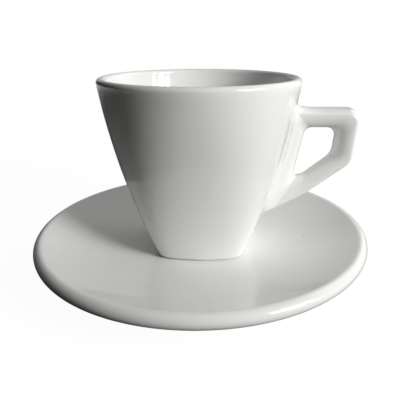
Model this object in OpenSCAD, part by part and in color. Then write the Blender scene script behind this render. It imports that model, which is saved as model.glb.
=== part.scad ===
// Espresso cup with saucer, glazed porcelain.
// Lengths are in millimetres. The origin is the centre of the saucer's standing plane, +Z is up, and the
// handle points to +X. The cup stands free in the saucer's flat well.

/* [Saucer] */
// Overall diameter of the saucer
saucer_d = 115; // [106:0.5:126]
// Height of the edge's crest above the flat well
saucer_depth = 7.5; // [6.5:0.1:9.5]
// Thickness of the saucer, which is also that of its full round edge
saucer_t = 4.6; // [4:0.1:5.4]
// Flat margin of the well around the corners of the cup's foot
well_margin = 1.2; // [0.5:0.1:3]
// Outer diameter of the saucer's foot ring
saucer_foot_d = 68; // [60:0.5:76]
// Width of the foot ring's standing face
saucer_foot_w = 2; // [1.5:0.1:3]
// Height of the foot ring under the middle of the saucer
saucer_foot_h = 2.2; // [1.8:0.1:3]
// Rounding of the foot ring's two lower edges
saucer_foot_round = 0.8; // [0.4:0.1:1.2]

/* [Cup body] */
// Outside diameter of the round rim
cup_rim_d = 64.6; // [58:0.2:70]
// Height of the cup from its foot to the top of its rim
cup_h = 58.4; // [54:0.2:66]
// Width of the square base across its flats
cup_base_w = 32; // [28:0.2:36]
// How square the base is: 2 is a circle, higher is squarer
base_squareness = 3.9; // [3:0.1:5]
// Outward bulge of the wall at half height
wall_bulge = 1.7; // [1:0.1:2.4]
// Wall thickness at the rim
rim_wall = 2.8; // [2.2:0.1:3.4]
// Wall thickness at the base
base_wall = 4.2; // [3.4:0.1:5]
// Thickness of the floor, from the standing plane up
cup_floor = 5; // [4:0.1:6]
// Inside radius where the wall turns into the floor
floor_fillet = 7; // [5:0.1:9]
// Height of the rounding at the base's lower edge
foot_round = 1.2; // [0.8:0.1:1.6]
// Width of the foot's unglazed standing face
foot_w = 2.2; // [1.6:0.1:3]
// Depth of the recess inside the foot
foot_recess = 1.4; // [1:0.1:2]

/* [Handle] */
// Distance from the rim down to the handle's flat top edge
handle_drop = 9.7; // [8:0.1:12]
// Reach of the handle beyond the rim
handle_reach = 19.1; // [17:0.1:22]
// Thickness of the handle from side to side
handle_t = 10; // [8:0.1:12]
// Width of the top bar and of the outer bar
bar_w = 6.3; // [5.6:0.1:7]
// Height of the outer edge, from the top corner to the lower corner before rounding
outer_edge = 17.8; // [16:0.1:20]
// How far the outer edge leans in towards its lower corner
outer_lean = 1.2; // [0:0.1:2.4]
// Rise of the gap's lower outer corner above that of the handle
lower_corner_rise = 2.5; // [1.8:0.1:3.4]
// Reach beyond the rim of the bend in the lower bar's under edge
bend_reach = 2; // [1:0.1:4]
// Height above the cup's foot of the bend in the lower bar's under edge
bend_height = 18.9; // [17.5:0.1:20]
// Height above the cup's foot at which the lower bar's under edge runs into the wall
handle_low = 9.5; // [8.5:0.1:11]
// Reach beyond the rim of the bend in the gap's lower edge
gap_bend_reach = 3.1; // [2:0.1:4.5]
// Height above the cup's foot of the bend in the gap's lower edge
gap_bend_height = 26.4; // [25.6:0.1:28]
// Height above the cup's foot of the gap's lowest corner before rounding
gap_low = 25.2; // [23.5:0.1:26]
// How far the root stands off the wall beside the gap's top corner
root_top_w = 5.2; // [4.6:0.1:6.4]
// How far the root stands off the wall beside the gap's lowest corner
root_low_w = 6.5; // [5.6:0.1:7.6]
// Radius of the handle's top outer corner
top_corner_r = 3; // [2.2:0.1:4]
// Radius of the handle's lower outer corner
lower_corner_r = 5; // [3.5:0.1:6.5]
// Radius of the bend in the lower bar's under edge
bend_r = 60; // [30:1:80]
// Radius of the handle's end below the root
root_end_r = 3.2; // [2.4:0.1:3.6]
// Radius of the gap's top corner at the root
gap_root_r = 2.6; // [1.8:0.1:3.2]
// Radius of the gap's top corner at the outer bar
gap_outer_r = 3; // [2:0.1:3.6]
// Radius of the gap's lower corner at the outer bar
gap_lower_r = 6; // [4:0.1:7]
// Radius of the bend in the gap's lower edge
gap_bend_r = 3; // [1.5:0.1:4]
// Radius of the gap's lowest corner
gap_low_r = 1; // [0.8:0.1:1.4]

/* [Hidden] */
glaze = [0.95, 0.95, 0.93];

// Counts of points and steps on the curved surfaces
ring_points = 64;
wall_steps = 12;
arc_steps = 8;
dish_steps = 20;
corner_steps = 8;
section_points = 20;

// Cup: heights are above the cup's foot, which stands on the well
rim_r = cup_rim_d / 2;
base_r = cup_base_w / 2;
lip_r = rim_wall / 2;
lip_z = cup_h - lip_r;
wall_h = lip_z - foot_round;
foot_lean = atan2(wall_h, rim_r - base_r + 4 * wall_bulge);
foot_arc_r = foot_round / (1 - cos(foot_lean));
foot_face_r = base_r - foot_arc_r * sin(foot_lean);
foot_corner_r = foot_face_r * pow(2, 1 / 2 - 1 / base_squareness);
fillet_top = cup_floor + floor_fillet * (1 - cos(foot_lean));
fillet_centre_r = inner_half(fillet_top) - floor_fillet * sin(foot_lean);

// Saucer: the dish and the underside are arcs about one centre, and both run tangent into the round edge
edge_r = saucer_t / 2;
well_z = saucer_foot_h + saucer_t;
edge_centre = [saucer_d / 2 - edge_r, well_z + saucer_depth - edge_r];
well_r = foot_corner_r + well_margin;
dish_run = edge_centre.x - well_r;
dish_rise = edge_centre.y - well_z;
dish_r = (dish_run * dish_run + dish_rise * dish_rise - edge_r * edge_r) / (2 * (dish_rise + edge_r));
dish_centre = [well_r, well_z + dish_r];
edge_angle = atan2(edge_centre.y - dish_centre.y, edge_centre.x - dish_centre.x);
saucer_foot_r = saucer_foot_d / 2;
foot_inner_r = saucer_foot_r - saucer_foot_w - 2 * saucer_foot_round;
foot_inner_centre = [foot_inner_r + saucer_foot_round, saucer_foot_round];
foot_outer_centre = [saucer_foot_r - saucer_foot_round, saucer_foot_round];
foot_angle = -acos((saucer_foot_r - well_r) / (dish_r + saucer_t));

// Handle: corners in the plane of the handle, from the top of the root clockwise
handle_top = cup_h - handle_drop;
gap_top = handle_top - bar_w;
lower_corner = handle_top - outer_edge;
root_depth_share = 0.6;
// How much the root is thickened at its top and at its lower end
root_flare_shares = [0.5, 1.1];
ridge_share = 0.45;
bar_squareness = 2.2;
root_depth = base_wall * root_depth_share;
buried_corner_r = root_depth / 2;
outer_corners = [
    [outer_half(handle_top) - root_depth, handle_top],
    [outer_x(handle_top), handle_top],
    [outer_x(lower_corner), lower_corner],
    [rim_r + bend_reach, bend_height],
    [outer_half(handle_low) - root_depth, handle_low],
];
gap_corners = [
    [outer_half(gap_top) + root_top_w, gap_top],
    [outer_x(gap_top) - bar_w, gap_top],
    [outer_x(lower_corner + lower_corner_rise) - bar_w, lower_corner + lower_corner_rise],
    [rim_r + gap_bend_reach, gap_bend_height],
    [outer_half(gap_low) + root_low_w, gap_low],
];
outer_radii = [buried_corner_r, top_corner_r, lower_corner_r, bend_r, root_end_r];
gap_radii = [gap_root_r, gap_outer_r, gap_lower_r, gap_bend_r, gap_low_r];

// Height as a share of the wall, 0 where the foot's rounding ends and 1 at the lip
function wall_share(z) = (z - foot_round) / wall_h;

// Half width of the outer wall across its flats
function outer_half(z) =
    let (t = wall_share(z))
    base_r + (rim_r - base_r) * t + 4 * wall_bulge * t * (1 - t);

// Half width of the inner wall across its flats
function inner_half(z) = outer_half(z) - base_wall - (rim_wall - base_wall) * wall_share(z);

// The section's power: a circle at the lip, squarer down to the foot
function squareness(z) =
    let (t = max(0, min(1, wall_share(z))))
    1 / (t / 2 + (1 - t) / base_squareness);

// The handle's outer edge
function outer_x(z) = rim_r + handle_reach - outer_lean * (handle_top - z) / outer_edge;

function unit(v) = v / norm(v);
function turned(v, angle) = [v.x * cos(angle) - v.y * sin(angle), v.x * sin(angle) + v.y * cos(angle)];
function signed_power(v, p) = sign(v) * pow(abs(v), p);
function eased(t) = t * t * (3 - 2 * t);

// Points of an arc, with both ends
function arc(centre, r, from, to, steps) =
    [for (i = [0 : steps]) centre + turned([r, 0], from + (to - from) * i / steps)];

// A corner rounded to an arc that is tangent to both its sides
function corner_arc(before, corner, after, r) =
    let (
        u = unit(before - corner),
        v = unit(after - corner),
        half = acos(u * v) / 2,
        centre = corner + unit(u + v) * r / sin(half),
        start = corner + u * r / tan(half) - centre,
        sweep = -sign(cross(u, v)) * (180 - 2 * half)
    )
    [for (i = [0 : corner_steps]) centre + turned(start, sweep * i / corner_steps)];

function rounded(corners, radii) =
    let (n = len(corners))
    [for (i = [0 : n - 1])
        let (before = corners[(i + n - 1) % n], after = corners[(i + 1) % n])
        each corner_arc(before, corners[i], after, radii[i])];

// One level ring of the cup: half width across the flats, and height
function ring(half, z) =
    let (n = squareness(z))
    [for (i = [0 : ring_points - 1])
        let (a = 360 * i / ring_points, r = half / pow(pow(abs(cos(a)), n) + pow(abs(sin(a)), n), 1 / n))
        [r * cos(a), r * sin(a), z]];

// Outlines of the cup's surfaces as half width and height, in order round the wall
function foot_outline() = [
    [foot_face_r - foot_w - foot_recess, foot_recess],
    [foot_face_r - foot_w, 0],
    each arc([foot_face_r, foot_arc_r], foot_arc_r, -90, foot_lean - 90, arc_steps),
];
function wall_outline() =
    [for (i = [1 : wall_steps]) let (z = foot_round + wall_h * i / wall_steps) [outer_half(z), z]];
function lip_outline() = arc([rim_r - lip_r, lip_z], lip_r, 180 / arc_steps, 180, arc_steps - 1);
function inside_outline() = [
    for (i = [1 : wall_steps - 1])
        let (z = lip_z + (fillet_top - lip_z) * i / wall_steps)
        [inner_half(z), z],
    each arc([fillet_centre_r, cup_floor + floor_fillet], floor_fillet, foot_lean - 90, -90, arc_steps),
];

// A closed skin over a stack of rings, with a middle point at each end
module ring_stack(outline) {
    last = len(outline) - 1;
    bottom = (last + 1) * ring_points;
    points = [
        for (p = outline) each ring(p.x, p.y),
        [0, 0, outline[0].y],
        [0, 0, outline[last].y],
    ];
    faces = [
        for (i = [0 : ring_points - 1]) let (j = (i + 1) % ring_points) each [
            [bottom, i, j],
            [bottom + 1, last * ring_points + j, last * ring_points + i],
        ],
        for (k = [0 : last - 1], i = [0 : ring_points - 1])
            let (j = (i + 1) % ring_points, a = k * ring_points, b = a + ring_points) each [
                [a + i, b + i, b + j],
                [a + i, b + j, a + j],
            ],
    ];
    polyhedron(points, faces);
}

// The bars as one closed loop of soft sections, thickened towards the wall along the root. Each section's
// ridge sits nearer its outer edge, so that its faces slope down to the gap.
module handle_loop() {
    outer = rounded(outer_corners, outer_radii);
    gap = rounded(gap_corners, gap_radii);
    stations = len(outer);
    along = corner_steps + 1;
    root_end = len(outer_corners) - 1;
    points = [
        for (i = [0 : stations - 1])
            let (
                corner = floor(i / along),
                step = eased((i % along) / corner_steps),
                top_flare = corner == 0 ? root_flare_shares[0] * (1 - step) : 0,
                low_flare = corner == root_end ? root_flare_shares[1] * step : 0
            )
            for (k = [0 : section_points - 1])
                let (
                    a = 360 * k / section_points,
                    even = signed_power(cos(a), 2 / bar_squareness),
                    across = ridge_share + even * (1 - sign(even) * ridge_share),
                    side = signed_power(sin(a), 2 / bar_squareness) * handle_t / 2,
                    p = (outer[i] + gap[i]) / 2 + across * (outer[i] - gap[i]) / 2
                )
                [p.x, side * (1 + (top_flare + low_flare) * pow((1 + across) / 2, 2)), p.y]
    ];
    faces = [
        for (i = [0 : stations - 1], k = [0 : section_points - 1])
            let (
                a = i * section_points,
                b = ((i + 1) % stations) * section_points,
                m = (k + 1) % section_points
            )
            each [
                [a + k, b + k, b + m],
                [a + k, b + m, a + m],
            ],
    ];
    polyhedron(points, faces);
}

module saucer() {
    color(glaze)
    rotate_extrude()
    polygon([
        [0, saucer_foot_h],
        [foot_inner_r, saucer_foot_h],
        each arc(foot_inner_centre, saucer_foot_round, 180, 270, arc_steps),
        each arc(foot_outer_centre, saucer_foot_round, -90, 0, arc_steps),
        each arc(dish_centre, dish_r + saucer_t, foot_angle, edge_angle, dish_steps),
        each arc(edge_centre, edge_r, edge_angle, edge_angle + 180, dish_steps),
        each arc(dish_centre, dish_r, edge_angle, -90, dish_steps),
        [0, well_z],
    ]);
}

module cup_body() {
    color(glaze)
    translate([0, 0, well_z])
    ring_stack(concat(foot_outline(), wall_outline(), lip_outline(), inside_outline()));
}

module cup_handle() {
    color(glaze)
    translate([0, 0, well_z])
    difference() {
        handle_loop();
        ring_stack(concat(foot_outline(), wall_outline()));
    }
}

saucer();
cup_body();
cup_handle();
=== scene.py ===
import math

import bmesh
import bpy
from mathutils import Matrix, Vector


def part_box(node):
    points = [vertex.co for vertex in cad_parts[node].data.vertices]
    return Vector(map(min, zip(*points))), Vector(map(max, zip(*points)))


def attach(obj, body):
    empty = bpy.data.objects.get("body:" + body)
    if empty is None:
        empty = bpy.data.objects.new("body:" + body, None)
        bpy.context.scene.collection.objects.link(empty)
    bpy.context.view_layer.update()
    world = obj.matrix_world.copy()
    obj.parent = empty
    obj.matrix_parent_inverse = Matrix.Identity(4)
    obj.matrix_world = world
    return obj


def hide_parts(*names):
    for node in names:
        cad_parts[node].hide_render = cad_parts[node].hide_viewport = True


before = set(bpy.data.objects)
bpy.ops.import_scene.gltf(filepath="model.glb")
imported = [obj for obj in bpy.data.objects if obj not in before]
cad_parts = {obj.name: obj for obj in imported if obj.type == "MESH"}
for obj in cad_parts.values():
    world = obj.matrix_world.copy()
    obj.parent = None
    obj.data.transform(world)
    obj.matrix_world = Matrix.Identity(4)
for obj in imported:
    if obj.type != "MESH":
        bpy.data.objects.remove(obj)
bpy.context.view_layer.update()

# Sizes in metres, in the frame of the solids: +Z up the axis of the cup, +X towards the handle

mm = 0.001
_, saucer_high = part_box("saucer")
cup_low, cup_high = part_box("cup_body")
_, handle_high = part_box("cup_handle")

# Cup: heights are above its foot, which stands on the saucer's well. Its section is a mix of a circle,
# by the share side_round, and a rounded square whose power falls from base_squareness to 2 at the lip.
rim_r = cup_high.x
cup_h = cup_high.z - cup_low.z
base_r = 16 * mm
base_squareness = 7
side_round = 0.35
wall_bulge = 1.7 * mm
rim_wall = 2.8 * mm
base_wall = 4.2 * mm
cup_floor = 5 * mm
floor_fillet = 7 * mm
foot_round = 1.2 * mm
foot_w = 2.2 * mm
foot_recess = 1.4 * mm
recess_round = 0.6 * mm
lip_r = rim_wall / 2
lip_z = cup_h - lip_r
wall_h = lip_z - foot_round
foot_lean = math.atan2(wall_h, rim_r - base_r + 4 * wall_bulge)
foot_arc_r = foot_round / (1 - math.cos(foot_lean))
foot_face_r = base_r - foot_arc_r * math.sin(foot_lean)
foot_corner_r = foot_face_r * (side_round + (1 - side_round) * 2 ** (1 / 2 - 1 / base_squareness))

# Saucer: the dish and the underside are arcs about one centre, and both run into the round edge
saucer_r = saucer_high.x
well_z = cup_low.z
well_margin = 1.2 * mm
saucer_t = 4.6 * mm
saucer_foot_r = 34 * mm
saucer_foot_w = 2 * mm
saucer_foot_round = 0.8 * mm
saucer_foot_h = well_z - saucer_t
foot_cove = 1 * mm
edge_r = saucer_t / 2
edge_x = saucer_r - edge_r
edge_z = saucer_high.z - edge_r
well_r = foot_corner_r + well_margin
dish_run = edge_x - well_r
dish_rise = edge_z - well_z
dish_r = (dish_run ** 2 + dish_rise ** 2 - edge_r ** 2) / (2 * (dish_rise + edge_r))
dish_z = well_z + dish_r
edge_angle = math.atan2(edge_z - dish_z, edge_x - well_r)
foot_angle = -math.acos((saucer_foot_r - well_r) / (dish_r + saucer_t))
foot_inner_r = saucer_foot_r - saucer_foot_w - 2 * saucer_foot_round

# Handle: heights are above the cup's foot, and each reach is out from the rim
handle_top = handle_high.z - well_z
handle_reach = 19.1 * mm
handle_x = rim_r + handle_reach
handle_t = 10 * mm
bar_w = 6.3 * mm
outer_edge = 17.8 * mm
outer_lean = 1.2 * mm
lower_corner = handle_top - outer_edge
lower_corner_rise = 2.5 * mm
bend_reach = 2 * mm
bend_x = rim_r + bend_reach
bend_z = 18.9 * mm
root_foot = 9.5 * mm
gap_top = handle_top - bar_w
gap_bend_reach = 3.1 * mm
gap_bend_x = rim_r + gap_bend_reach
gap_bend_z = 26.4 * mm
gap_low = 25.2 * mm
top_corner_r = 3 * mm
lower_corner_r = 5 * mm
bend_r = 60 * mm
root_foot_r = 3.2 * mm
gap_root_top_r = 2.6 * mm
gap_top_r = 3 * mm
gap_lower_r = 6 * mm
gap_bend_r = 3 * mm
gap_root_low_r = 1 * mm
root_top_w = 5.2 * mm
root_low_w = 6.5 * mm
root_depth = 0.6 * base_wall
root_flare_top = 0.5
root_flare_low = 1.1
bar_squareness = 2.2

# Ridge along the bar's sides: 0 is the bar's middle and 1 its outer edge. It is further out on the outer bar.
ridge = 0.45
ridge_outer = 0.15

# Slip drawn out over the wall round the handle's root
slip_r = 2.4 * mm
slip_feather = 0.01 * mm
slip_dip = 1 / 8
slip_rise = 0.8 * mm
slip_run = 6 * mm
least_slant = 0.2

# Finish. The bare clay band up the cup's foot is real, and is also a painted shade that darkens the contact
# line under the cup.
bare_and_shade_band = 0.35 * mm
sharp_angle = math.radians(50)
glaze_rounds = 6

# How finely the curves are divided
turn_steps = 192
wall_steps = 32
dish_steps = 48
under_steps = 24
edge_steps = 24
lip_steps = 20
fillet_steps = 12
ring_steps = 8
cove_steps = 6
recess_steps = 4
bar_steps = 72
corner_steps = 24
side_steps = 56


def wall_share(z):
    """Height as a share of the wall: 0 where the foot's rounding ends, 1 at the lip."""
    return (z - foot_round) / wall_h


def outer_half(z):
    """Half width of the cup's outer wall across its flats."""
    t = wall_share(z)
    return base_r + (rim_r - base_r) * t + 4 * wall_bulge * t * (1 - t)


def inner_half(z):
    """Half width of the cup's inner wall across its flats."""
    return outer_half(z) - base_wall - (rim_wall - base_wall) * wall_share(z)


def squareness(z):
    """The power of the cup's section: a circle at the lip, squarer down to the foot."""
    t = max(0, min(1, wall_share(z)))
    return 1 / (t / 2 + (1 - t) / base_squareness)


def section(angle, z):
    """The reach of the cup's section at an angle, as a multiple of its half width across the flats."""
    n = squareness(z)
    square = (abs(math.cos(angle)) ** n + abs(math.sin(angle)) ** n) ** (-1 / n)
    return side_round + (1 - side_round) * square


def wall_x(y, z):
    """Where the outer wall stands at the handle's side, at a distance from the handle's plane."""
    half = outer_half(z)
    x = half
    settling_rounds = 8
    for _ in range(settling_rounds):
        x = math.sqrt((half * section(math.atan2(y, x), z)) ** 2 - y ** 2)
    return x


def outer_x(z):
    """The handle's outer edge."""
    return handle_x - outer_lean * (handle_top - z) / outer_edge


def eased(t):
    """A smooth step from 0 to 1."""
    return t * t * (3 - 2 * t)


# Drawing a profile: radius along X, height along Z

def run_to(bm, end, r, z):
    """Draws a profile straight on from its end."""
    new = bmesh.ops.extrude_vert_indiv(bm, verts=[end])["verts"][0]
    new.co = (r, 0, z)
    return new


def arc_to(bm, end, r, z, angle, steps):
    """Draws a profile on from its end, round a centre."""
    arc = bmesh.ops.spin(bm, geom=[end], cent=(r, 0, z), axis=(0, -1, 0), angle=angle, steps=steps)
    return [v for v in arc["geom_last"] if isinstance(v, bmesh.types.BMVert)][0]


def soften(bm, corners, offset, steps):
    """Rounds a profile's corners."""
    bmesh.ops.bevel(
        bm, geom=corners, offset=offset, offset_type="OFFSET", segments=steps, profile=0.5,
        affect="VERTICES", material=-1)


def turn_full(bm, steps):
    """Turns a profile about the axis into a closed shell."""
    bmesh.ops.spin(
        bm, geom=bm.verts[:] + bm.edges[:], cent=(0, 0, 0), axis=(0, 0, 1), angle=2 * math.pi,
        steps=steps, use_merge=True)
    bmesh.ops.remove_doubles(bm, verts=bm.verts, dist=0.001 * mm)
    bmesh.ops.recalc_face_normals(bm, faces=bm.faces)


def glaze_depth(bm, rounds):
    """How the glaze lies: above 0 it gathers in a hollow, below 0 it thins over an edge."""
    layer = bm.verts.layers.float.new("glaze_depth")
    bm.normal_update()
    for v in bm.verts:
        around = [e.other_vert(v).co - v.co for e in v.link_edges]
        v[layer] = sum(v.normal.dot(step.normalized()) for step in around) / len(around)
    for _ in range(rounds):
        means = [sum(e.other_vert(v)[layer] for e in v.link_edges) / len(v.link_edges) for v in bm.verts]
        for v, mean in zip(bm.verts, means):
            v[layer] = (v[layer] + mean) / 2


def piece(name, bm, body, node, materials):
    """Makes a mesh a piece that rides on a body in the place of a solid."""
    glaze_depth(bm, glaze_rounds)
    # Faces low on the foot get bare clay; on the cup this band is also a painted shade along the contact
    # line.
    bare_and_shade_top = min(v.co.z for v in bm.verts) + bare_and_shade_band
    for face in bm.faces:
        bare = all(v.co.z < bare_and_shade_top for v in face.verts)
        face.material_index = int(bare and len(materials) > 1)
    mesh = bpy.data.meshes.new(name)
    bm.to_mesh(mesh)
    bm.free()
    mesh.shade_smooth()
    mesh.set_sharp_from_angle(angle=sharp_angle)
    for material in materials:
        mesh.materials.append(material)
    obj = bpy.data.objects.new(name, mesh)
    bpy.context.scene.collection.objects.link(obj)
    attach(obj, body)
    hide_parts(node)


def saucer_shell():
    """The saucer's profile from the middle of its underside round to the well, turned about the axis."""
    bm = bmesh.new()
    end = bm.verts.new((0, 0, saucer_foot_h))
    inner_cove = end = run_to(bm, end, foot_inner_r, saucer_foot_h)
    end = run_to(bm, end, foot_inner_r, saucer_foot_round)
    end = arc_to(bm, end, foot_inner_r + saucer_foot_round, saucer_foot_round, math.pi / 2, ring_steps)
    end = run_to(bm, end, saucer_foot_r - saucer_foot_round, 0)
    end = arc_to(bm, end, saucer_foot_r - saucer_foot_round, saucer_foot_round, math.pi / 2, ring_steps)
    under_r = dish_r + saucer_t
    outer_cove = end = run_to(
        bm, end, well_r + under_r * math.cos(foot_angle), dish_z + under_r * math.sin(foot_angle))
    end = arc_to(bm, end, well_r, dish_z, edge_angle - foot_angle, under_steps)
    end = arc_to(bm, end, edge_x, edge_z, math.pi, edge_steps)
    end = arc_to(bm, end, well_r, dish_z, -math.pi / 2 - edge_angle, dish_steps)
    run_to(bm, end, 0, well_z)
    soften(bm, [inner_cove], foot_cove, cove_steps)
    soften(bm, [outer_cove], foot_cove, cove_steps)
    turn_full(bm, turn_steps)
    return bm


def cup_shell():
    """The cup's profile across its flats, turned about the axis, then squared towards the foot."""
    bm = bmesh.new()
    end = bm.verts.new((0, 0, foot_recess))
    recess = end = run_to(bm, end, foot_face_r - foot_w - foot_recess, foot_recess)
    end = run_to(bm, end, foot_face_r - foot_w, 0)
    end = run_to(bm, end, foot_face_r, 0)
    end = arc_to(bm, end, foot_face_r, foot_arc_r, foot_lean, fillet_steps)
    for step in range(1, wall_steps + 1):
        z = foot_round + wall_h * step / wall_steps
        end = run_to(bm, end, outer_half(z), z)
    end = arc_to(bm, end, rim_r - lip_r, lip_z, math.pi, lip_steps)
    fillet_top = cup_floor + floor_fillet * (1 - math.cos(foot_lean))
    for step in range(1, wall_steps + 1):
        z = lip_z + (fillet_top - lip_z) * step / wall_steps
        end = run_to(bm, end, inner_half(z), z)
    fillet_x = inner_half(fillet_top) - floor_fillet * math.sin(foot_lean)
    end = arc_to(bm, end, fillet_x, cup_floor + floor_fillet, -foot_lean, fillet_steps)
    run_to(bm, end, 0, cup_floor)
    soften(bm, [recess], recess_round, recess_steps)
    turn_full(bm, turn_steps)
    for v in bm.verts:
        v.co.xy = v.co.xy * section(math.atan2(v.co.y, v.co.x), v.co.z)
    bmesh.ops.translate(bm, verts=bm.verts, vec=(0, 0, well_z))
    return bm


def rounded(corners):
    """Points round a closed outline of (corner, radius), the corners turned to arcs."""
    points = []
    for i, (corner, r) in enumerate(corners):
        before = (corners[i - 1][0] - corner).normalized()
        after = (corners[(i + 1) % len(corners)][0] - corner).normalized()
        half = before.angle(after) / 2
        centre = corner + (before + after).normalized() * r / math.sin(half)
        start = corner + before * r / math.tan(half) - centre
        bend = math.copysign(math.pi - 2 * half, -before.cross(after).y)
        turn = Matrix.Rotation(bend / corner_steps, 3, "Y")
        if points:
            points += side_between(points[-1], centre + start)
        for _ in range(corner_steps + 1):
            points.append(centre + start)
            start = turn @ start
    return points + side_between(points[-1], points[0])


def side_between(a, b):
    """Points along a straight side, without its ends."""
    return [a.lerp(b, step / side_steps) for step in range(1, side_steps)]


def handle_loop():
    """A ring turned into a loop, fitted to the handle's two outlines and drawn out over the wall."""
    along = corner_steps + side_steps
    outer = rounded([
        (Vector((outer_half(handle_top) - root_depth, 0, handle_top)), root_depth / 2),
        (Vector((outer_x(handle_top), 0, handle_top)), top_corner_r),
        (Vector((outer_x(lower_corner), 0, lower_corner)), lower_corner_r),
        (Vector((bend_x, 0, bend_z)), bend_r),
        (Vector((outer_half(root_foot) - root_depth, 0, root_foot)), root_foot_r)])
    gap_corner = lower_corner + lower_corner_rise
    gap = rounded([
        (Vector((outer_half(gap_top) + root_top_w, 0, gap_top)), gap_root_top_r),
        (Vector((outer_x(gap_top) - bar_w, 0, gap_top)), gap_top_r),
        (Vector((outer_x(gap_corner) - bar_w, 0, gap_corner)), gap_lower_r),
        (Vector((gap_bend_x, 0, gap_bend_z)), gap_bend_r),
        (Vector((outer_half(gap_low) + root_low_w, 0, gap_low)), gap_root_low_r)])
    stations = len(outer)
    bm = bmesh.new()
    bmesh.ops.create_circle(bm, segments=bar_steps, radius=0.5, matrix=Matrix.Translation((1, 0, 0)))
    bmesh.ops.spin(
        bm, geom=bm.edges[:], cent=(0, 0, 0), axis=(0, 1, 0), angle=2 * math.pi, steps=stations,
        use_merge=True)
    bmesh.ops.recalc_face_normals(bm, faces=bm.faces)
    for v in bm.verts:
        station = round(math.atan2(-v.co.z, v.co.x) / (2 * math.pi) * stations) % stations
        around = math.atan2(v.co.y, math.hypot(v.co.x, v.co.z) - 1)
        size = (abs(math.cos(around)) ** bar_squareness + abs(math.sin(around)) ** bar_squareness)
        size = size ** (-1 / bar_squareness)
        across = size * math.cos(around)
        side = size * math.sin(around) * handle_t / 2
        corner, step = divmod(station, along)
        turn = eased(min(1, step / corner_steps))
        run = max(0, step - corner_steps) / side_steps
        root = root_flare_low * turn + (root_flare_top - root_flare_low) * run
        flare = {0: root_flare_top * (1 - turn), 4: root}.get(corner, 0)
        crest = ridge + ridge_outer * {1: turn, 2: 1 - turn}.get(corner, 0)
        across = crest + across * (1 - math.copysign(crest, across))
        outward = ((1 + across) / 2) ** 2
        middle = (outer[station] + gap[station]) / 2
        v.co = middle + across * (outer[station] - gap[station]) / 2
        v.co.y = side * (1 + flare * outward)
        if corner == 0:
            near = max(0, 1 - (v.co.x - outer_half(handle_top)) / slip_run)
            v.co.z += slip_rise * outward * min(1, near) ** 2
    lute(bm)
    bmesh.ops.translate(bm, verts=bm.verts, vec=(0, 0, well_z))
    return bm


def lute(bm):
    """Draws the handle's skin out over the wall all round its root, as slip and glaze do."""
    bm.normal_update()
    tuck = (math.pi / 2 - 1) * slip_r
    moves = []
    for v in bm.verts:
        x, y, z = v.co
        if x > outer_half(z) + 2 * slip_r:
            continue
        lift = wall_x(y, z)
        step = 0.1 * mm
        slope_y = (wall_x(y + step, z) - wall_x(y - step, z)) / (2 * step)
        slope_z = (wall_x(y, z + step) - wall_x(y, z - step)) / (2 * step)
        out = Vector((1, -slope_y, -slope_z)).normalized()
        stand_off = (x - lift) * out.x
        if stand_off > slip_r:
            continue
        along = (v.normal - out * v.normal.dot(out))
        if along.length < least_slant:
            continue
        along.normalize()
        turn = min(1, (slip_r - stand_off) / (slip_r + tuck)) * math.pi / 2
        sunk = max(0, -stand_off - tuck)
        rise = slip_r * (1 - math.sin(turn)) - slip_feather - sunk * slip_dip
        spread = slip_r * (1 - math.cos(turn)) + sunk
        place = v.co + along * spread
        place.x = wall_x(place.y, place.z) + rise / out.x
        moves.append((v, place))
    for v, place in moves:
        v.co = place


# Finishes: colours are linear, and each share says how far a colour is mixed towards another

glaze_shade = (0.85, 0.855, 0.84, 1)
glaze_light = (0.88, 0.88, 0.87, 1)
glaze_gathered = (0.78, 0.81, 0.8, 1)
glaze_thin = (0.89, 0.875, 0.85, 1)
gathered_share = 0.35
thin_share = 0.3
glaze_gloss = (0.05, 0.11)
glaze_ior = 1.52
iron = (0.12, 0.1, 0.08, 1)
clay = (0.72, 0.68, 0.61, 1)
clay_soil = (0.42, 0.4, 0.37, 1)
soil_share = 0.5
clay_rough = 0.8
cloth = (0.02, 0.02, 0.02, 1)
floor_grey = (0.08, 0.08, 0.08, 1)


def add(tree, kind, inputs=None, **settings):
    """A node with its settings, its inputs set to values or joined to other nodes' sockets."""
    node = tree.nodes.new(kind)
    for name, value in settings.items():
        setattr(node, name, value)
    for name, value in (inputs or {}).items():
        if isinstance(value, bpy.types.NodeSocket):
            tree.links.new(value, node.inputs[name])
        else:
            node.inputs[name].default_value = value
    return node


def effect(name, inputs, outputs):
    """An empty shader group with named value inputs and outputs."""
    tree = bpy.data.node_groups.new(name, "ShaderNodeTree")
    for socket, value in inputs.items():
        kind = "NodeSocketVector" if isinstance(value, tuple) else "NodeSocketFloat"
        tree.interface.new_socket(socket, in_out="INPUT", socket_type=kind).default_value = value
    for socket in outputs:
        tree.interface.new_socket(socket, in_out="OUTPUT", socket_type="NodeSocketFloat")
    return tree, tree.nodes.new("NodeGroupInput").outputs, tree.nodes.new("NodeGroupOutput")


def uneven_effect():
    """Slow swells and a fine grain over a surface: a tone from 0 to 1, and a height in metres."""
    tree, given, result = effect(
        "uneven", {"Swell scale": 60, "Swell height": 0.0, "Grain scale": 700, "Grain height": 0.0},
        ["Tone", "Height"])
    place = add(tree, "ShaderNodeTexCoord").outputs["Object"]
    swell = add(tree, "ShaderNodeTexNoise", {"Vector": place, "Scale": given["Swell scale"], "Detail": 1})
    grain = add(tree, "ShaderNodeTexNoise", {"Vector": place, "Scale": given["Grain scale"], "Detail": 2})
    slow = scaled(tree, swell.outputs["Fac"], given["Swell height"])
    fine = scaled(tree, grain.outputs["Fac"], given["Grain height"])
    height = add(tree, "ShaderNodeMath", {0: slow, 1: fine}, operation="ADD")
    tree.links.new(swell.outputs["Fac"], result.inputs["Tone"])
    tree.links.new(height.outputs[0], result.inputs["Height"])
    return tree


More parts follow.
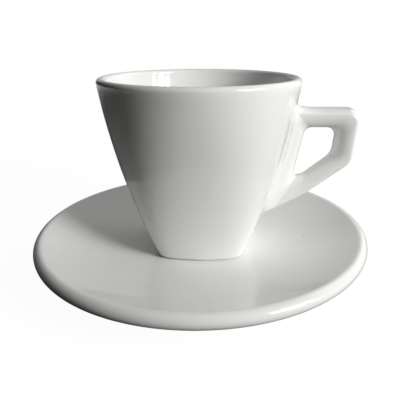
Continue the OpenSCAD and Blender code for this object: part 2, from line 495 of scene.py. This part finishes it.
def speck_effect():
    """One iron speck burnt through the glaze: 1 in its middle, 0 outside it."""
    tree, given, result = effect("iron_speck", {"Place": (0, 0, 0), "Size": 0.3 * mm}, ["Mask"])
    place = add(tree, "ShaderNodeTexCoord").outputs["Object"]
    gap = add(tree, "ShaderNodeVectorMath", {0: place, 1: given["Place"]}, operation="DISTANCE")
    mask = add(
        tree, "ShaderNodeMapRange",
        {"Value": gap.outputs["Value"], "From Min": given["Size"], "From Max": 0, "To Min": 0, "To Max": 1})
    tree.links.new(mask.outputs["Result"], result.inputs["Mask"])
    return tree


def lie_effect():
    """How thick the glaze lies, from the piece's own shape: gathered in hollows, thin over edges."""
    tree, given, result = effect("glaze_lie", {"Reach": 0.1}, ["Gathered", "Thin"])
    depth = add(tree, "ShaderNodeAttribute", attribute_name="glaze_depth").outputs["Fac"]
    back = scaled(tree, given["Reach"], -1.0)
    for name, reach in (("Gathered", given["Reach"]), ("Thin", back)):
        mask = add(tree, "ShaderNodeMapRange", {"Value": depth, "From Min": 0, "From Max": reach})
        tree.links.new(mask.outputs["Result"], result.inputs[name])
    return tree


def tint(tree, share, colour, other):
    """Mixes a colour towards another by a mask."""
    mix = add(tree, "ShaderNodeMix", {0: share, 6: colour, 7: other}, data_type="RGBA")
    return mix.outputs[2]


def scaled(tree, value, by):
    """A socket's value times a number or another socket."""
    return add(tree, "ShaderNodeMath", {0: value, 1: by}, operation="MULTIPLY").outputs[0]


def glaze_material(name, specks):
    """Clear glaze over white porcelain, with the specks that burnt through it."""
    material = bpy.data.materials.new(name)
    material.use_nodes = True
    tree = material.node_tree
    shader = tree.nodes["Principled BSDF"]
    skin = add(tree, "ShaderNodeGroup", node_tree=uneven)
    skin.inputs["Swell scale"].default_value = 55
    skin.inputs["Swell height"].default_value = 0.015 * mm
    skin.inputs["Grain scale"].default_value = 800
    skin.inputs["Grain height"].default_value = 0.0015 * mm
    lie = add(tree, "ShaderNodeGroup", node_tree=glaze_lie)
    colour = tint(tree, skin.outputs["Tone"], glaze_shade, glaze_light)
    colour = tint(tree, scaled(tree, lie.outputs["Gathered"], gathered_share), colour, glaze_gathered)
    colour = tint(tree, scaled(tree, lie.outputs["Thin"], thin_share), colour, glaze_thin)
    for place, speck_size in specks:
        speck = add(tree, "ShaderNodeGroup", node_tree=iron_speck)
        speck.inputs["Place"].default_value = place
        speck.inputs["Size"].default_value = speck_size
        colour = tint(tree, speck.outputs["Mask"], colour, iron)
    gloss = add(
        tree, "ShaderNodeMapRange",
        {"Value": skin.outputs["Tone"], "To Min": glaze_gloss[0], "To Max": glaze_gloss[1]})
    bump = add(tree, "ShaderNodeBump", {"Height": skin.outputs["Height"], "Distance": 1.0, "Strength": 1.0})
    tree.links.new(colour, shader.inputs["Base Color"])
    tree.links.new(gloss.outputs["Result"], shader.inputs["Roughness"])
    tree.links.new(bump.outputs["Normal"], shader.inputs["Normal"])
    shader.inputs["IOR"].default_value = glaze_ior
    return material


def clay_and_contact_shade_material():
    """The unglazed standing faces: fired clay, ground smooth and a little soiled by tables; on the cup's foot
    also a painted contact shade.
    """
    material = bpy.data.materials.new("clay_and_contact_shade")
    material.use_nodes = True
    tree = material.node_tree
    shader = tree.nodes["Principled BSDF"]
    skin = add(tree, "ShaderNodeGroup", node_tree=uneven)
    skin.inputs["Swell scale"].default_value = 260
    skin.inputs["Grain scale"].default_value = 2600
    skin.inputs["Grain height"].default_value = 0.02 * mm
    soil = add(tree, "ShaderNodeMapRange", {"Value": skin.outputs["Tone"], "From Min": 0.5, "From Max": 0.75})
    colour = tint(tree, scaled(tree, soil.outputs["Result"], soil_share), clay, clay_soil)
    bump = add(tree, "ShaderNodeBump", {"Height": skin.outputs["Height"], "Distance": 1.0, "Strength": 1.0})
    tree.links.new(colour, shader.inputs["Base Color"])
    tree.links.new(bump.outputs["Normal"], shader.inputs["Normal"])
    shader.inputs["Roughness"].default_value = clay_rough
    return material


uneven = uneven_effect()
iron_speck = speck_effect()
glaze_lie = lie_effect()
cup_glaze = glaze_material("cup_glaze", [(Vector((24.44, -7.69, 31.03)) * mm, 0.45 * mm)])
saucer_glaze = glaze_material("saucer_glaze", [
    (Vector((37.14, 1.59, 8.78)) * mm, 0.35 * mm),
    (Vector((4.84, -44.52, 10.71)) * mm, 0.3 * mm),
    (Vector((24.85, 8.32, 7.16)) * mm, 0.3 * mm)])
clay_and_contact_shade = clay_and_contact_shade_material()
piece("saucer_glazed", saucer_shell(), "saucer", "saucer", [saucer_glaze, clay_and_contact_shade])
piece("cup_glazed", cup_shell(), "cup", "cup_body", [cup_glaze, clay_and_contact_shade])
piece("handle_glazed", handle_loop(), "cup", "cup_handle", [cup_glaze])

# Stage: floor, dark curtain, lamps and camera

floor_r = 6
curtain_r = 1.2
# Painted shade on the floor: its glow is lower close round the object and comes in between these two
# distances; glow_near is its level there for the camera
painted_shade_fade_from = 0.3
painted_shade_fade_to = 0.7
glow_near = 0.96
lamp_far = 0.6
lamp_aim = Vector((0, 0, 40 * mm))


def stage_piece(name, bm, material):
    """Makes a mesh a part of the stage."""
    mesh = bpy.data.meshes.new(name)
    bm.to_mesh(mesh)
    bm.free()
    mesh.materials.append(material)
    obj = bpy.data.objects.new(name, mesh)
    bpy.context.scene.collection.objects.link(obj)
    return obj


def seen_as_background(tree):
    """1 for the rays that see the background itself: from the camera, in a reflection or through glass."""
    path = add(tree, "ShaderNodeLightPath").outputs
    direct = greater(tree, path["Is Camera Ray"], path["Is Glossy Ray"])
    return greater(tree, direct, path["Is Transmission Ray"])


def greater(tree, one, other):
    """The greater of two values."""
    return add(tree, "ShaderNodeMath", {0: one, 1: other}, operation="MAXIMUM").outputs[0]


def pale_floor():
    """A white floor. Close round the object, where the object keeps the light off it, its glow is painted
    darker by distance: a painted shade, dark in reflections and a little lower for the camera.
    """
    material = bpy.data.materials.new("pale_floor")
    material.use_nodes = True
    tree = material.node_tree
    tree.nodes.clear()
    matt = add(tree, "ShaderNodeBsdfDiffuse", {"Color": floor_grey})
    place = add(tree, "ShaderNodeTexCoord").outputs["Object"]
    away = add(tree, "ShaderNodeVectorMath", {0: place}, operation="LENGTH").outputs["Value"]
    # Painted shade: the floor's glow fades in with distance from the object
    clear = add(tree, "ShaderNodeMapRange", {"Value": away, "From Min": painted_shade_fade_from, "From Max": painted_shade_fade_to})
    clear = clear.outputs["Result"]
    level = add(tree, "ShaderNodeMapRange", {"Value": clear, "To Min": glow_near, "To Max": 1.0})
    reflected = scaled(tree, seen_as_background(tree), clear)
    camera_ray = add(tree, "ShaderNodeLightPath").outputs["Is Camera Ray"]
    seen = greater(tree, camera_ray, reflected)
    white = add(tree, "ShaderNodeEmission", {"Strength": scaled(tree, seen, level.outputs["Result"])})
    both = add(tree, "ShaderNodeAddShader", {0: matt.outputs[0], 1: white.outputs[0]})
    add(tree, "ShaderNodeOutputMaterial", {"Surface": both.outputs[0]})
    bm = bmesh.new()
    bmesh.ops.create_circle(bm, cap_ends=True, segments=96, radius=floor_r)
    stage_piece("floor", bm, material)


def dark_curtain():
    """Dark cloth all round, as glossy china is shot, so that only the lamps show in the glaze."""
    material = bpy.data.materials.new("dark_cloth")
    material.use_nodes = True
    shader = material.node_tree.nodes["Principled BSDF"]
    shader.inputs["Base Color"].default_value = cloth
    shader.inputs["Roughness"].default_value = 1
    bm = bmesh.new()
    bmesh.ops.create_uvsphere(bm, u_segments=48, v_segments=24, radius=curtain_r)
    bmesh.ops.bisect_plane(
        bm, geom=bm.verts[:] + bm.edges[:] + bm.faces[:], plane_co=(0, 0, 0), plane_no=(0, 0, -1),
        clear_outer=True)
    curtain = stage_piece("curtain", bm, material)
    curtain.visible_camera = False


def softbox(name, azimuth, elevation, wide, high, radiance, colour):
    """A soft lamp that faces the cup: azimuth from the front towards the handle, angles in degrees."""
    lamp = bpy.data.lights.new(name, "AREA")
    lamp.shape = "RECTANGLE"
    lamp.size = 2 * lamp_far * math.tan(math.radians(wide / 2))
    lamp.size_y = 2 * lamp_far * math.tan(math.radians(high / 2))
    lamp.energy = radiance * math.pi * lamp.size * lamp.size_y
    lamp.color = colour
    obj = bpy.data.objects.new(name, lamp)
    turn = Matrix.Rotation(math.radians(azimuth), 3, "Z") @ Matrix.Rotation(math.radians(-elevation), 3, "X")
    obj.location = lamp_aim + turn @ Vector((0, -lamp_far, 0))
    obj.rotation_euler = (lamp_aim - obj.location).to_track_quat("-Z", "Y").to_euler()
    obj.visible_camera = False
    bpy.context.scene.collection.objects.link(obj)
    return obj


pale_floor()
dark_curtain()
daylight = (1, 0.99, 0.975)
room_light = (1, 1, 1)

# The window's panes: azimuth, width, sill and radiance. All end at the window's head.
window_head = 31
panes = [(69.8, 3.6, 8.75, 18), (58.9, 7.8, 10.15, 26), (50.3, 5.5, 11.95, 38), (45.5, 3.2, 15, 15)]
for pane, (azimuth, wide, sill, radiance) in enumerate(panes):
    middle = (window_head + sill) / 2
    softbox(f"window_pane_{pane}", azimuth, middle, wide, window_head - sill, radiance, daylight)
softbox("side_wall", 128, 26, 34, 52, 1.2, room_light)
softbox("ceiling", 0, 88, 50, 50, 0.28, room_light)
softbox("back_wall", 178, 26, 72, 52, 0.45, room_light)

# A low fill for the back of the cup, which doesn't show in the glaze
back_fill = softbox("back_fill", 194, 3, 96, 8, 4.2, room_light)
back_fill.visible_glossy = False

unseen_level = 0.5
world = bpy.data.worlds.new("white_studio")
world.use_nodes = True
tree = world.node_tree
background = tree.nodes["Background"]
background.inputs["Color"].default_value = (1, 1, 1, 1)
strength = add(
    tree, "ShaderNodeMapRange", {"Value": seen_as_background(tree), "To Min": unseen_level, "To Max": 1.0})
tree.links.new(strength.outputs["Result"], background.inputs["Strength"])
bpy.context.scene.world = world

camera_data = bpy.data.cameras.new("camera")
camera_data.lens = 38.556
camera_data.sensor_width = 36
camera_data.shift_x = -0.04767
camera_data.shift_y = 0.0293
camera_data.clip_start = 0.01
camera = bpy.data.objects.new("camera", camera_data)
camera.location = Vector((9.083, -142.396, 77.223)) * mm
camera_dip = 0.39111
camera_turn = 0.021
camera.rotation_euler = (math.pi / 2 - camera_dip, 0, camera_turn)
bpy.context.scene.collection.objects.link(camera)
bpy.context.scene.camera = camera
bpy.context.scene.view_settings.view_transform = "Standard"
